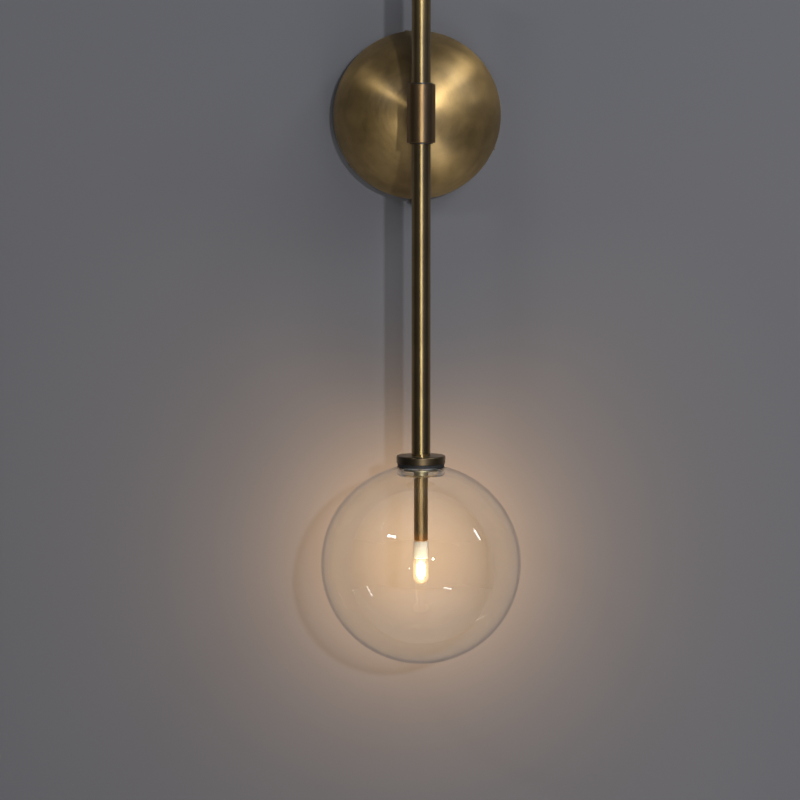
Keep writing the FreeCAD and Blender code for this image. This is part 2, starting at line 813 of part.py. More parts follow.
def core_wires():
    """Two stiff wires that carry the core under the base."""
    wires = []
    for sign in (-1, 1):
        place = rod_at(bulb_top - base_length) + X * (sign * core_wire_reach)
        wires.append(cylinder(core_wire_r, place, DOWN, core_drop + core_r))
    return Part.makeCompound([wire.cut(led_core()) for wire in wires])


parts = {
    "wall_bracket": wall_bracket(),
    "backplate": backplate(),
    "canopy_set_screws": canopy_set_screws(),
    "driver": driver(),
    "bracket_screws": bracket_screws(),
    "terminal_block": terminal_block(),
    "terminal_clamp_screws": terminal_clamp_screws(),
    "earth_lug": earth_lug(),
    "earth_screw": earth_screw(),
    "earth_lead": earth_lead(),
    "mains_leads": mains_leads(),
    "arm_nipple": arm_nipple(),
    "arm_washer": arm_washer(),
    "arm_locknut": arm_locknut(),
    "standoff_arm": standoff_arm(),
    "clamp_sleeve": clamp_sleeve(),
    "upper_sleeve_bush": sleeve_bush(1),
    "lower_sleeve_bush": sleeve_bush(-1),
    "sleeve_grub_screw": sleeve_grub_screw(),
    "arm_leads": arm_leads(),
    "switch_body": switch_body(),
    "switch_collar": switch_collar(),
    "switch_button": switch_button(),
    "rod": rod(),
    "rod_top_cap": rod_top_cap(),
    "rod_insert": rod_insert(),
    "lower_nipple": lower_nipple(),
    "glass_cap": glass_cap(),
    "grip_ring": grip_ring(),
    "ring_retainer": ring_retainer(),
    "stem_locknut": stem_locknut(),
    "stem": stem(),
    "lampholder": lampholder(),
    "holder_contacts": holder_contacts(),
    "slack_leads": slack_leads(),
    "lamp_leads": lamp_leads(),
    "globe_lower": globe_lower(),
    "globe_upper": globe_upper(),
    "globe_collar": globe_collar(),
    "bulb_glass": bulb_glass(),
    "bulb_base": bulb_base(),
    "bulb_pins": bulb_pins(),
    "led_core": led_core(),
    "core_wires": core_wires(),
}

os.makedirs("parts", exist_ok=True)
for name, shape in parts.items():
    shape.exportStep("parts/" + name + ".step")
    solids = len(shape.Solids)
    print(name, "solids", solids, "volume %.1f" % shape.Volume, "valid", shape.isValid())
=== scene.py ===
import json
import math

import bmesh
import bpy
import numpy as np
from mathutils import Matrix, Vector


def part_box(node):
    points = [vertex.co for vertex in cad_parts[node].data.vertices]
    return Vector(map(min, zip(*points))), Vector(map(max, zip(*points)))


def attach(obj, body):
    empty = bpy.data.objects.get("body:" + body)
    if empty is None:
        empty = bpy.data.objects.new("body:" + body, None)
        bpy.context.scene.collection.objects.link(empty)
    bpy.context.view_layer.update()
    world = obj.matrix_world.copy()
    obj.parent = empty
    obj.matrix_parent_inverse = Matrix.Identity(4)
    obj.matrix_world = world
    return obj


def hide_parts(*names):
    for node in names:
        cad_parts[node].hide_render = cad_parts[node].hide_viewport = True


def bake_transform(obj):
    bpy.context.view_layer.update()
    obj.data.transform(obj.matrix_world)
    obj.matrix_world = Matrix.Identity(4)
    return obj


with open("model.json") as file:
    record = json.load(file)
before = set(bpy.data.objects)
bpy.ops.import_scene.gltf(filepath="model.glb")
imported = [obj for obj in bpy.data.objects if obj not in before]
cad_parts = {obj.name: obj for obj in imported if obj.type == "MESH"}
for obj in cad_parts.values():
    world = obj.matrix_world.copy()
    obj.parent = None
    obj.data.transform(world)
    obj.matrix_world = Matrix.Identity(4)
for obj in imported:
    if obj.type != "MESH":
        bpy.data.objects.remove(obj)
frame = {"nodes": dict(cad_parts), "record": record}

# The lamp stands on the wall plane y = 0 and comes out of it towards -Y, with +Z up. All lengths are in
# metres, and X, Y and Z number the directions.
MM = 0.001
X, Y, Z = 0, 1, 2
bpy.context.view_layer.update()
nodes = frame["nodes"]


# Measures read from the frame

def radius_of(node):
    """Half of a round node's width across X."""
    low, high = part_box(node)
    return (high.x - low.x) / 2


def heights_of(node):
    """Lowest and highest Z of a node."""
    low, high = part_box(node)
    return low.z, high.z


rod_low, rod_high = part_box("rod")
standoff = -(rod_low.y + rod_high.y) / 2
rod_axis = (0, -standoff, 0)
globe_nodes = [name for name in nodes if name.startswith("globe_")]
globe_high = heights_of("globe_collar")[1]
globe_r = radius_of("globe_lower")
stem_end = heights_of("stem")[0]
bulb_tip, bulb_top = heights_of("bulb_glass")
core_low, core_high = heights_of("led_core")
core_middle = (core_low + core_high) / 2
core_r = radius_of("led_core")

# Globe wall, mouth and collar, as blown
glass_wall = 2.0 * MM
shoulder_r = 18.87 * MM
mouth_r = 16.6 * MM
collar_thickness = 4.8 * MM
collar_depth = 8.6 * MM
mouth_round = 0.8 * MM

# Capsule of the lamp
capsule_wall = 0.7 * MM

# Meshes: points this near are one point, and an edge is sharp from this angle
same_point = 1e-7
sharp_degrees = 35


# Surfaces

def grid_piece(name, points):
    """Mesh from a grid of points: each cell is the quad of point (i, j), its neighbour along the row and the
    two above them. Columns close into a ring, and points that meet, as at a pole, are merged."""
    rows, columns = points.shape[:2]
    index = np.arange(rows * columns).reshape(rows, columns)
    index = np.hstack([index, index[:, :1]])
    quads = np.stack([index[:-1, :-1], index[:-1, 1:], index[1:, 1:], index[1:, :-1]], axis=-1)
    mesh = bpy.data.meshes.new(name)
    mesh.from_pydata(points.reshape(-1, 3).tolist(), [], quads.reshape(-1, 4).tolist())
    loose = bmesh.new()
    loose.from_mesh(mesh)
    bmesh.ops.remove_doubles(loose, verts=loose.verts, dist=same_point)
    loose.to_mesh(mesh)
    loose.free()
    mesh.shade_smooth()
    mesh.set_sharp_from_angle(angle=math.radians(sharp_degrees))
    made = bpy.data.objects.new(name, mesh)
    bpy.context.scene.collection.objects.link(made)
    return made


def turned(name, profile, columns=192, aside=0.0):
    """Surface of revolution about the rod's axis, or an axis beside it: a profile point (r, z) becomes the
    ring (aside + r cos t, -standoff + r sin t, z), t from 0 to a full turn. The profile starts and ends on
    the axis, and is put in the order in which faces point outwards."""
    r, z = profile[:, 0], profile[:, 1]
    area = np.sum(r * np.roll(z, -1) - np.roll(r, -1) * z)
    if area < 0:
        r, z = r[::-1], z[::-1]
    turn = np.linspace(0, 2 * math.pi, columns, endpoint=False)
    rings = np.stack([
        aside + r[:, None] * np.cos(turn),
        -standoff + r[:, None] * np.sin(turn),
        np.broadcast_to(z[:, None], (len(z), columns)),
    ], axis=-1)
    return grid_piece(name, rings)


def arc(centre, radius, first, last, points):
    """Arc of points (r, z) = centre + radius (cos t, sin t), where t goes from first to last in degrees."""
    turn = np.radians(np.linspace(first, last, points))
    return np.stack([centre[0] + radius * np.cos(turn), centre[1] + radius * np.sin(turn)], axis=-1)


def blown_globe():
    """Glass globe: a sphere's arc up to the flat of the mouth, down the mouth, round the collar's lower edge,
    up its outer side, and back along the inner sphere's arc to the pole."""
    inner_r = globe_r - glass_wall
    top = math.sqrt(globe_r ** 2 - shoulder_r ** 2)
    centre = globe_high - top
    foot = globe_high - collar_depth + collar_thickness / 2
    collar_r = mouth_r + collar_thickness
    outer = arc((0, centre), globe_r, -90, math.degrees(math.atan2(top, shoulder_r)), points=130)
    mouth = arc((mouth_r + mouth_round, globe_high - mouth_round), mouth_round, 90, 180, points=7)
    edge = arc((mouth_r + collar_thickness / 2, foot), collar_thickness / 2, 180, 360, points=25)
    inner_top = math.sqrt(inner_r ** 2 - collar_r ** 2)
    inner = arc((0, centre), inner_r, math.degrees(math.atan2(inner_top, collar_r)), -90, points=120)
    outer[0, 0] = inner[-1, 0] = 0
    return turned("blown_globe", np.vstack([outer, mouth, edge, inner]), columns=224)


def capsule():
    """Lamp glass: a tube with a hemisphere at its lower end, inside and outside, joined at its upper rim."""
    outer_r = radius_of("bulb_glass")
    inner_r = outer_r - capsule_wall
    middle = bulb_tip + outer_r
    outer = np.vstack([arc((0, middle), outer_r, -90, 0, points=25), [[outer_r, bulb_top]]])
    inner = np.vstack([[[inner_r, bulb_top]], arc((0, middle), inner_r, 0, -90, points=25)])
    outer[0, 0] = inner[-1, 0] = 0
    return turned("lamp_capsule", np.vstack([outer, inner]), columns=96)


def slack_pair():
    """The two insulated cores of the slack stretch: one tube (reach + r cos t, -standoff + r sin t, z) and
    the other at -reach, flat at their ends and ringed every millimetre."""
    low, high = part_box("slack_leads")
    core = (high.y - low.y) / 2
    reach = (high.x - low.x) / 2 - core
    rings = round((high.z - low.z) / MM) + 1
    side = np.stack([np.full(rings, core), np.linspace(low.z, high.z, rings)], axis=-1)
    profile = np.vstack([[[0, low.z]], side, [[0, high.z]]])
    left, right = [turned("slack_pair", profile, columns=24, aside=way * reach) for way in (-1, 1)]
    both = bmesh.new()
    for half in (left, right):
        both.from_mesh(half.data)
    both.to_mesh(left.data)
    both.free()
    bpy.data.objects.remove(right)
    return left


# Materials

def colour(code):
    """Linear colour with alpha 1 from an sRGB hex code."""
    parts = [int(code[i:i + 2], 16) / 255 for i in (1, 3, 5)]
    return [p / 12.92 if p <= 0.04045 else ((p + 0.055) / 1.055) ** 2.4 for p in parts] + [1.0]


def add(tree, kind, inputs=None, **settings):
    """Adds a node with its own settings. inputs gives each socket a value, a hex colour, another node's
    output, or another node, whose first output in use it takes."""
    made = tree.nodes.new(kind)
    for name, value in settings.items():
        setattr(made, name, value)
    for socket, value in (inputs or {}).items():
        if isinstance(value, bpy.types.Node):
            value = next(output for output in value.outputs if output.enabled)
        if isinstance(value, bpy.types.NodeSocket):
            tree.links.new(value, made.inputs[socket])
        else:
            made.inputs[socket].default_value = colour(value) if isinstance(value, str) else value
    return made


def new_material(name, shader):
    """Material whose surface is what shader(tree) returns."""
    made = bpy.data.materials.new(name)
    made.use_nodes = True
    tree = made.node_tree
    tree.nodes.clear()
    add(tree, "ShaderNodeOutputMaterial", {"Surface": shader(tree)})
    return made


# Nearly all of a noise texture's values lie in this span
noise_span = {"From Min": 0.3, "From Max": 0.7}


def grain(tree, size, detail=3.0):
    """Number from 0 to 1 that varies over about one size, in metres, in every direction."""
    place = add(tree, "ShaderNodeTexCoord").outputs["Object"]
    return add(tree, "ShaderNodeTexNoise", {"Vector": place, "Scale": 1 / size, "Detail": detail})


def by_place(tree, direction, start, end, first=0.0, last=1.0):
    """Number that is first up to start along X, Y or Z, last from end on, and goes evenly between them."""
    place = add(tree, "ShaderNodeTexCoord").outputs["Object"]
    level = add(tree, "ShaderNodeSeparateXYZ", {0: place}).outputs[direction]
    return add(tree, "ShaderNodeMapRange", {
        "Value": level, "From Min": start, "From Max": end, "To Min": first, "To Max": last,
    })


def from_axis(tree, centre, across):
    """Place of the point from a centre, and the ray to it from the axis through that centre. across is 1 on
    the two directions square to the axis."""
    place = add(tree, "ShaderNodeTexCoord").outputs["Object"]
    away = add(tree, "ShaderNodeVectorMath", {0: place, 1: centre}, operation="SUBTRACT")
    return away, add(tree, "ShaderNodeVectorMath", {0: away, 1: across}, operation="MULTIPLY")


def tool_marks(tree, centre, across, spacing, reach):
    """Number that changes every spacing along a turned outline, and slowly round it: reach sets how far each
    mark runs round the axis. Also gives the direction of the ray from the axis. The place along the outline
    is the distance from the axis less the distance along it."""
    away, ray = from_axis(tree, centre, across)
    axis = tuple(1 - part for part in across)
    radius = add(tree, "ShaderNodeVectorMath", {0: ray}, operation="LENGTH").outputs["Value"]
    level = add(tree, "ShaderNodeVectorMath", {0: away, 1: axis}, operation="DOT_PRODUCT").outputs["Value"]
    outline = add(tree, "ShaderNodeMath", {0: radius, 1: level}, operation="SUBTRACT")
    direction = add(tree, "ShaderNodeVectorMath", {0: ray}, operation="NORMALIZE")
    count = add(tree, "ShaderNodeMath", {0: outline, 1: 1 / spacing}, operation="MULTIPLY")
    step = add(tree, "ShaderNodeVectorMath", {0: axis, "Scale": count}, operation="SCALE")
    turn = add(tree, "ShaderNodeVectorMath", {0: direction, "Scale": 1 / reach}, operation="SCALE")
    spot = add(tree, "ShaderNodeVectorMath", {0: step, 1: turn}, operation="ADD")
    return add(tree, "ShaderNodeTexNoise", {"Vector": spot, "Scale": 1.0, "Detail": 3.0}), direction


def rod_turned_marks(tree, spacing):
    """Tool marks of a piece turned about the rod's axis, and the direction along its turned outline, in which
    they scatter light: up its side and outwards across its ends."""
    marks, ray = tool_marks(tree, rod_axis, (1, 1, 0), spacing, 0.5)
    return marks, add(tree, "ShaderNodeVectorMath", {0: ray, 1: (0, 0, 1)}, operation="ADD")


def aged_brass(tree, marks, light, dark, rough, mark_height, groove=0.12, **sockets):
    """Brass browned by age under a thin lacquer: clouds of tarnish about 24 mm wide, specks of 1.5 mm, and
    tool marks that are darker in their grooves by the share groove. The lacquer adds a whitish gloss over
    the metal's own gold."""
    clouds = add(tree, "ShaderNodeMapRange", {"Value": grain(tree, 24 * MM, 2.0), **noise_span})
    specks = add(tree, "ShaderNodeMapRange", {
        "Value": grain(tree, 1.5 * MM, 2.0), "From Min": 0.56, "From Max": 0.74, "To Max": 0.2,
    })
    grooves = add(tree, "ShaderNodeMapRange", {"Value": marks, **noise_span, "To Min": groove, "To Max": 0.0})
    gloss = add(tree, "ShaderNodeMapRange", {
        "Value": marks, "From Min": 0.25, "From Max": 0.75, "To Min": 0.92 * rough, "To Max": 1.08 * rough,
    })
    base = add(tree, "ShaderNodeMix", {"Factor": clouds, "A": dark, "B": light}, data_type="RGBA")
    grooved = add(tree, "ShaderNodeMix", {"Factor": grooves, "A": base, "B": "#3E3119"}, data_type="RGBA")
    tarnished = add(tree, "ShaderNodeMix", {"Factor": specks, "A": grooved, "B": "#4F4022"}, data_type="RGBA")
    return add(tree, "ShaderNodeBsdfPrincipled", {
        "Base Color": tarnished, "Metallic": 1.0, "Roughness": gloss, "Coat Weight": 0.6,
        "Coat Roughness": 0.42,
        "Normal": add(tree, "ShaderNodeBump", {"Height": marks, "Distance": mark_height}), **sockets,
    })


def spun_brass(tree):
    """Brass sheet spun into a dome on a lathe, aged and lacquered. The chuck's fine rings, drawn 1.4 mm apart
    so that they show, pull every highlight out into a ray from the middle."""
    marks, ray = tool_marks(tree, (0, 0, 0), (1, 0, 1), 1.4 * MM, 0.35)
    return aged_brass(tree, marks, "#967B4C", "#7B6439", 0.37, 0.001 * MM, Anisotropic=0.9, Tangent=ray)


def brushed_tube(tree, light, dark, rough, **sockets):
    """Aged brass tube polished along its length: its fine lengthwise lines scatter light round the tube and
    hardly along it. Lines are drawn 1 mm apart round the tube and 250 mm long, so that they show."""
    place = add(tree, "ShaderNodeTexCoord").outputs["Object"]
    per_line = (1 / MM, 1 / MM, 1 / (250 * MM))
    stretched = add(tree, "ShaderNodeVectorMath", {0: place, 1: per_line}, operation="MULTIPLY")
    lines = add(tree, "ShaderNodeTexNoise", {"Vector": stretched, "Scale": 1.0, "Detail": 2.0})
    ray = from_axis(tree, rod_axis, (1, 1, 0))[1]
    direction = add(tree, "ShaderNodeVectorMath", {0: ray}, operation="NORMALIZE")
    round_tube = add(tree, "ShaderNodeVectorMath", {0: direction, 1: (0, 0, 1)}, operation="CROSS_PRODUCT")
    return aged_brass(tree, lines, light, dark, rough, 0.00005 * MM, groove=0.05, Anisotropic=1.0,
                      Tangent=round_tube, **sockets)


def drawn_brass(tree):
    """Brass tube drawn through a die and polished: a narrow highlight down its whole length, and olive-brown
    sides."""
    return brushed_tube(tree, "#A08752", "#8E7542", 0.15)


def sleeve_brass(tree):
    """Thick brass tube of the sleeve, brushed coarser and aged redder than the rod: a wider, duller
    highlight."""
    return brushed_tube(tree, "#967442", "#806134", 0.17)


def stem_brass(tree):
    """Brass tube of the stem, kept cleaner than the rod inside the globe: warmer gold. Its last 8 mm nearest
    the lamp is painted orange and given a painted glow, which stand in for the lamp's light falling on it."""
    painted_lamp_light = by_place(tree, Z, stem_end, stem_end + 8 * MM, 1.0, 0.0)
    # painted light: the stem's end nearest the lamp gets an orange tint and an orange glow, standing in for
    # the lamp's light on it
    light, dark, shine = [
        add(tree, "ShaderNodeMix", {"Factor": painted_lamp_light, "A": far, "B": near}, data_type="RGBA")
        for far, near in [("#CDA668", "#D4924C"), ("#BB9254", "#C47E3A"), ("#000000", "#A0682C")]
    ]
    # painted glow of the lamp's light on the stem's end
    return brushed_tube(tree, light, dark, 0.28, **{"Emission Color": shine, "Emission Strength": 0.4})


def turned_brass(tree):
    """Solid brass turned in a lathe, aged darker than the tube: rings about the rod's axis, 0.8 mm apart."""
    marks, along = rod_turned_marks(tree, 0.8 * MM)
    return aged_brass(tree, marks, "#84693E", "#6A522E", 0.36, 0.0008 * MM, Anisotropic=0.2, Tangent=along)


def dark_brass(tree):
    """Turned brass browned with chemicals, as on the globe's cap: dark olive brown, with gold where the
    rings' crests have been rubbed."""
    marks, along = rod_turned_marks(tree, 0.8 * MM)
    return aged_brass(tree, marks, "#66532F", "#4C3C22", 0.36, 0.001 * MM, Anisotropic=0.2, Tangent=along)


def bright_brass(tree):
    """Brass nut and washer turned and left clean, little tarnished: pale, satin gold with fine rings."""
    marks, along = rod_turned_marks(tree, 0.5 * MM)
    return aged_brass(tree, marks, "#F0E0B4", "#DCC794", 0.45, 0.001 * MM, Anisotropic=0.3, Tangent=along)


def screw_brass(tree):
    """Small cut-threaded brass screws, blackened in their sockets and dull: grain of 0.6 mm."""
    return aged_brass(tree, grain(tree, 0.6 * MM), "#5E4E2C", "#3A2F1A", 0.42, 0.01 * MM)


def surfaced(tree, base, texture, least_rough, most_rough, height, **sockets):
    """Surface whose roughness and height both follow one texture: it is as rough as most_rough, and stands
    up by height, in metres, where the texture is high."""
    rough = add(tree, "ShaderNodeMapRange", {
        "Value": texture, **noise_span, "To Min": least_rough, "To Max": most_rough,
    })
    return add(tree, "ShaderNodeBsdfPrincipled", {
        "Base Color": base, "Roughness": rough,
        "Normal": add(tree, "ShaderNodeBump", {"Height": texture, "Distance": height}), **sockets,
    })


def zinc_plate(tree):
    """Steel pressed and zinc plated: cold blue-grey with a faint yellow spangle about 6 mm wide, and a fine
    grain of 0.7 mm."""
    spangle = add(tree, "ShaderNodeMapRange", {
        "Value": grain(tree, 6 * MM, 4.0), "From Min": 0.35, "From Max": 0.65,
    })
    base = add(tree, "ShaderNodeMix", {"Factor": spangle, "A": "#A9ADAF", "B": "#C3BFAE"}, data_type="RGBA")
    return surfaced(tree, base, grain(tree, 0.7 * MM, 2.0), 0.32, 0.46, 0.006 * MM, Metallic=1.0)


def tinned_copper(tree):
    """Copper dipped in tin: soft white metal, slightly lumpy every 1.2 mm, warm where the tin is thin."""
    lumps = grain(tree, 1.2 * MM)
    thin = add(tree, "ShaderNodeMapRange", {"Value": lumps, "From Min": 0.55, "From Max": 0.75})
    base = add(tree, "ShaderNodeMix", {"Factor": thin, "A": "#CFCDC6", "B": "#C9A888"}, data_type="RGBA")
    return surfaced(tree, base, lumps, 0.22, 0.36, 0.02 * MM, Metallic=1.0)


def drawn_wire(tree):
    """Nickel wire drawn hard: bright, with lines 0.2 mm apart along it."""
    place = add(tree, "ShaderNodeTexCoord").outputs["Object"]
    per_line = (5 / MM, 5 / MM, 0.1 / MM)
    stretched = add(tree, "ShaderNodeVectorMath", {0: place, 1: per_line}, operation="MULTIPLY")
    lines = add(tree, "ShaderNodeTexNoise", {"Vector": stretched, "Scale": 1.0})
    return add(tree, "ShaderNodeBsdfPrincipled", {
        "Base Color": add(tree, "ShaderNodeMix", {"Factor": lines, "A": "#A8A59E", "B": "#CFCBC2"},
                          data_type="RGBA"),
        "Metallic": 1.0,
        "Roughness": add(tree, "ShaderNodeMapRange", {
            "Value": lines, **noise_span, "To Min": 0.18, "To Max": 0.3,
        }),
    })


def moulded(tree, light, dark, spark, rough, height, **sockets):
    """Moulded plastic, rubber or insulation: spark-eroded texture of the mould at one size, with slight
    clouds of pigment ten times as wide."""
    clouds = grain(tree, 10 * spark, 2.0)
    base = add(tree, "ShaderNodeMix", {"Factor": clouds, "A": dark, "B": light}, data_type="RGBA")
    return surfaced(tree, base, grain(tree, spark), rough - 0.06, rough + 0.06, height, **sockets)


def silicone_rubber(tree):
    """Black silicone rubber, moulded: soft, dull black, grain of 0.8 mm."""
    return moulded(tree, "#211F1D", "#161514", 0.8 * MM, 0.62, 0.012 * MM)


def black_nylon(tree):
    """Black nylon bushes, moulded and slightly greasy from the sliding rod."""
    return moulded(tree, "#26221D", "#1A1714", 0.6 * MM, 0.42, 0.006 * MM)


def switch_nylon(tree):
    """Glass-filled nylon switch, black with a fine dry texture."""
    return moulded(tree, "#2A2A2B", "#1E1E1F", 0.5 * MM, 0.5, 0.01 * MM)


def polycarbonate(tree):
    """White polycarbonate driver case: spark-eroded texture of 1 mm, very slightly yellow."""
    return moulded(tree, "#E6E5DF", "#DAD8CF", 1.0 * MM, 0.45, 0.012 * MM)


def polyamide(tree):
    """Natural polyamide terminal block: milky cream, a little translucent."""
    return moulded(tree, "#DDD9CB", "#CFC9B6", 0.7 * MM, 0.4, 0.008 * MM, **{"Subsurface Weight": 0.12})


def lamp_silicone(tree):
    """Milk-white silicone insulation of the low-voltage pair, extruded."""
    return moulded(tree, "#DAD7CF", "#CBC7BC", 0.6 * MM, 0.5, 0.006 * MM)


def extruded_pvc(tree, base):
    """PVC insulation pressed out round its core: satin, with a grain of 0.5 mm."""
    return surfaced(tree, base, grain(tree, 0.5 * MM), 0.38, 0.5, 0.006 * MM)


def earth_pvc(tree):
    """Insulation in two lengthwise stripes: yellow on the side away from the wall, green towards it."""
    stripe = by_place(tree, Y, -4.0 * MM, -3.6 * MM, 1.0, 0.0)
    base = add(tree, "ShaderNodeMix", {"Factor": stripe, "A": "#2F7A34", "B": "#D9C738"}, data_type="RGBA")
    return extruded_pvc(tree, base)


# The neutral core lies above the driver's top less neutral_drop, to the left of neutral_reach, and left of
# the line x = lean_start + lean z, which leans as the core does
neutral_drop = 2 * MM
neutral_reach = 16 * MM
lean = -0.75
lean_start = 19.3 * MM


def mains_pvc(tree):
    """Mains cores: brown for the live and switched cores, blue for the neutral, which runs from the terminal
    block's middle pole to the driver's top."""
    place = add(tree, "ShaderNodeTexCoord").outputs["Object"]
    parts = add(tree, "ShaderNodeSeparateXYZ", {0: place}).outputs
    lowest = heights_of("driver")[1] - neutral_drop
    above = add(tree, "ShaderNodeMath", {0: parts[Z], 1: lowest}, operation="GREATER_THAN")
    inside = add(tree, "ShaderNodeMath", {0: parts[X], 1: neutral_reach}, operation="LESS_THAN")
    line = add(tree, "ShaderNodeMath", {0: parts[Z], 1: lean, 2: lean_start}, operation="MULTIPLY_ADD")
    left = add(tree, "ShaderNodeMath", {0: parts[X], 1: line}, operation="LESS_THAN")
    blue = add(tree, "ShaderNodeMath", {0: above, 1: inside}, operation="MULTIPLY")
    blue = add(tree, "ShaderNodeMath", {0: blue, 1: left}, operation="MULTIPLY")
    base = add(tree, "ShaderNodeMix", {"Factor": blue, "A": "#5A3520", "B": "#2F5FA3"}, data_type="RGBA")
    return extruded_pvc(tree, base)


def steatite(tree, light, dark, **sockets):
    """Fired steatite ceramic: chalky cream with dark specks of about 0.8 mm, clouds of 5 mm and pores of
    0.4 mm."""
    specks = add(tree, "ShaderNodeMapRange", {
        "Value": grain(tree, 0.8 * MM, 2.0), "From Min": 0.62, "From Max": 0.72, "To Max": 0.5,
    })
    clouds = grain(tree, 5 * MM, 2.0)
    body = add(tree, "ShaderNodeMix", {"Factor": clouds, "A": dark, "B": light}, data_type="RGBA")
    base = add(tree, "ShaderNodeMix", {"Factor": specks, "A": body, "B": "#8C8069"}, data_type="RGBA")
    return surfaced(tree, base, grain(tree, 0.4 * MM), 0.5, 0.68, 0.01 * MM, **sockets)


def holder_ceramic(tree):
    """Steatite lampholder, slightly browned by heat."""
    return steatite(tree, "#E4DAC4", "#CDBF9F")


def base_ceramic(tree):
    """Pale ceramic plug of the lamp, with a painted glow that stands in for the core's light from below:
    strongest at its lower end and fading out towards its top."""
    above_core = by_place(tree, Z, *heights_of("bulb_base"))
    # painted glow of the core's light, bright at the plug's lower end and dim at its top
    shine = add(tree, "ShaderNodeMix", {"Factor": above_core, "A": "#FFE2B4", "B": "#6B5236"},
                data_type="RGBA")
    return steatite(tree, "#F0E6D2", "#E2D2B4", **{"Emission Color": shine, "Emission Strength": 1.0})


def glass(tree, wave_size, wave_height, rim, **sockets):
    """Clear glass that bends and mirrors, its surface wavy by wave_height over wave_size. Light on its way to
    or from a surface that scatters it passes straight through, less where it meets the glass edge on, as it
    would be mirrored away there. So the shadow is dark at its rim and clear in its middle."""
    waves = grain(tree, wave_size, 1.0)
    body = add(tree, "ShaderNodeBsdfPrincipled", {
        "Base Color": "#FCFDFC", "Roughness": 0.0, "IOR": 1.5, "Transmission Weight": 1.0,
        "Normal": add(tree, "ShaderNodeBump", {"Height": waves, "Distance": wave_height}), **sockets,
    })
    facing = add(tree, "ShaderNodeLayerWeight", {"Blend": 0.5}).outputs["Facing"]
    edge = add(tree, "ShaderNodeMath", {0: facing, 1: 4.3}, operation="POWER")
    passed = add(tree, "ShaderNodeMix", {"Factor": edge, "A": "#FCFCFC", "B": rim}, data_type="RGBA")
    see = add(tree, "ShaderNodeBsdfTransparent", {"Color": passed})
    path = add(tree, "ShaderNodeLightPath").outputs
    glossy = add(tree, "ShaderNodeMath", {0: path["Is Glossy Ray"], 1: path["Is Singular Ray"]},
                 operation="SUBTRACT")
    dull = add(tree, "ShaderNodeMath", {0: path["Is Diffuse Ray"], 1: glossy}, operation="MAXIMUM")
    straight = add(tree, "ShaderNodeMath", {0: path["Is Shadow Ray"], 1: dull}, operation="MAXIMUM")
    return add(tree, "ShaderNodeMixShader", {0: straight, 1: body, 2: see})


def blown_glass(tree):
    """Mouth-blown soda glass, clear, with slow waves about 30 mm long that bend reflections a little."""
    return glass(tree, 30 * MM, 0.05 * MM, "#101010")


def capsule_glass(tree):
    """Hard glass tube drawn thin and sealed, with short waves of 4 mm. A painted glow stands in for the
    core's light scattered in it, most beside the core."""
    above_core = by_place(tree, Z, core_high - 3 * MM, core_high + 6 * MM)
    # painted glow of the core's light in the glass, bright beside the core and dim above it
    shine = add(tree, "ShaderNodeMix", {"Factor": above_core, "A": "#FFD193", "B": "#3A2A1A"},
                data_type="RGBA")
    return glass(tree, 4 * MM, 0.03 * MM, "#C8C8C8", **{"Emission Color": shine, "Emission Strength": 0.2})


def lit_core(tree):
    """Glowing core: white hot in the middle and orange where it turns away, hotter at its lower end. Light
    from lamps passes through it, because the lamp in its middle gives the core's own light."""
    facing = add(tree, "ShaderNodeLayerWeight", {"Blend": 0.4}).outputs["Facing"]
    tone = add(tree, "ShaderNodeMix", {"Factor": facing, "A": "#FFF1D8", "B": "#FFB25E"}, data_type="RGBA")
    power = by_place(tree, Z, core_low, core_high, 16.0, 7.0)
    shine = add(tree, "ShaderNodeEmission", {"Color": tone, "Strength": power})
    see = add(tree, "ShaderNodeBsdfTransparent")
    path = add(tree, "ShaderNodeLightPath").outputs["Is Shadow Ray"]
    return add(tree, "ShaderNodeMixShader", {0: path, 1: shine, 2: see})


BY_SLOT = {
    "satin_brass": drawn_brass, "bright_brass": bright_brass, "brass_screws": screw_brass,
    "zinc_steel": zinc_plate, "tinned_lug": tinned_copper, "pin_wire": drawn_wire,
    "black_rubber": silicone_rubber, "black_nylon": black_nylon, "switch_plastic": switch_nylon,
    "driver_case": polycarbonate, "block_plastic": polyamide, "earth_insulation": earth_pvc,
    "mains_insulation": mains_pvc, "lamp_insulation": lamp_silicone, "holder_ceramic": holder_ceramic,
    "base_ceramic": base_ceramic, "glowing_core": lit_core, "clear_glass": blown_glass,
    "bulb_glass": capsule_glass,
}

# Brass pieces that are made another way than the rod's tube
BY_NODE = {
    "backplate": spun_brass, "stem": stem_brass, "clamp_sleeve": sleeve_brass, "rod_top_cap": turned_brass,
    "switch_collar": turned_brass, "glass_cap": dark_brass,
}

finishes = {}
for made_by in [*BY_SLOT.values(), *BY_NODE.values()]:
    if made_by not in finishes:
        finishes[made_by] = new_material(made_by.__name__, made_by)
for part in frame["record"]["subparts"]:
    cad = nodes[part["node"]]
    cad.data.materials.clear()
    cad.data.materials.append(finishes[BY_NODE.get(part["node"], BY_SLOT[part["material_slot"]])])


def stand_in(piece, finish, slot, *replaced):
    """Gives a new piece its finish and hides the nodes that it stands for."""
    piece.data.materials.append(finishes[finish])
    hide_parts(*replaced)
    return piece


globe_glass = stand_in(blown_globe(), blown_glass, "clear_glass", *globe_nodes)
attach(globe_glass, "globe")
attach(stand_in(capsule(), capsule_glass, "bulb_glass", "bulb_glass"), "bulb")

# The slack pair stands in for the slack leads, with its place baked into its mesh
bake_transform(stand_in(slack_pair(), lamp_silicone, "lamp_insulation", "slack_leads"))


# Studio

def sheet_piece(name, corners, shader):
    """Flat stage piece through its corners, with its own material from shader."""
    mesh = bpy.data.meshes.new(name)
    mesh.from_pydata(corners, [], [list(range(len(corners)))])
    made = bpy.data.objects.new(name, mesh)
    made.data.materials.append(new_material(name, shader))
    bpy.context.scene.collection.objects.link(made)
    return made


